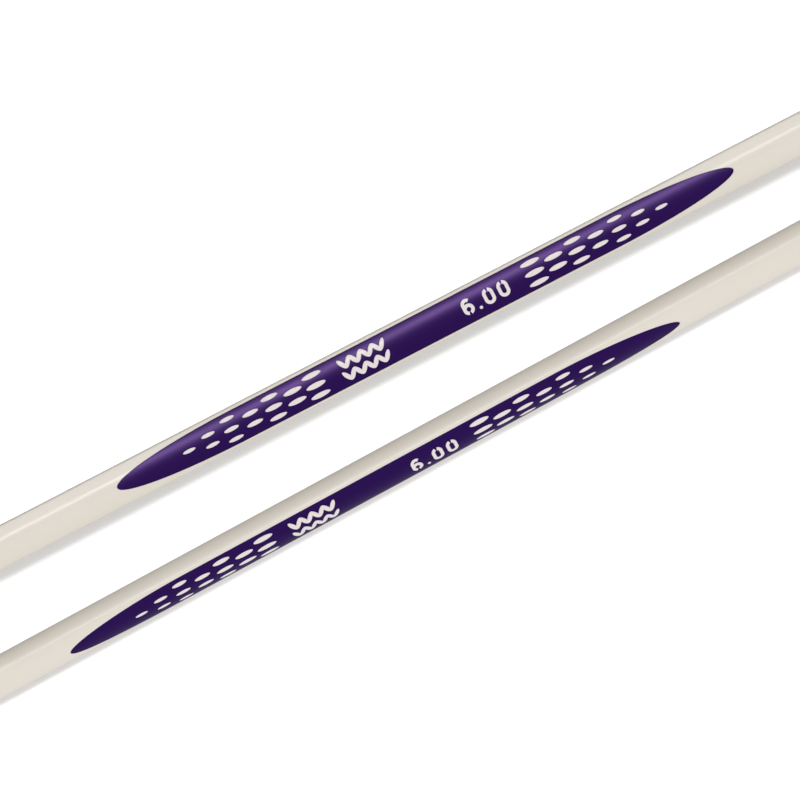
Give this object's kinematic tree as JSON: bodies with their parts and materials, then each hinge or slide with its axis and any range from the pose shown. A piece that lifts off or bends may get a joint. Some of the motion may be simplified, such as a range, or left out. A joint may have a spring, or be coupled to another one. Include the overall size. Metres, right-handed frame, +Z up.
{
  "type": "double pointed knitting needles",
  "caption": "Double pointed knitting needles with a rounded three-sided section, drop-shaped tips and a dotted grip inlaid in the middle of one face.",
  "frame": {"origin": "the middle of the pair's footprint, on the surface they lie on", "axes": "+X along the needles, +Y from the front needle to the rear needle, +Z up"},
  "size_m": [0.2174, 0.0228, 0.006],
  "materials": {
    "cream_polymer": "satin",
    "violet_polymer": "smooth matte"
  },
  "bodies": {
    "front_needle": {"front_needle_core": "cream_polymer", "front_needle_grip": "violet_polymer"},
    "rear_needle": {"rear_needle_core": "cream_polymer", "rear_needle_grip": "violet_polymer"}
  },
  "joints": [
    {"name": "rear_needle_lift", "type": "slide", "parent": "front_needle", "child": "rear_needle", "axis": [0, 0, 1], "range_m": [0, 0.06]}
  ]
}
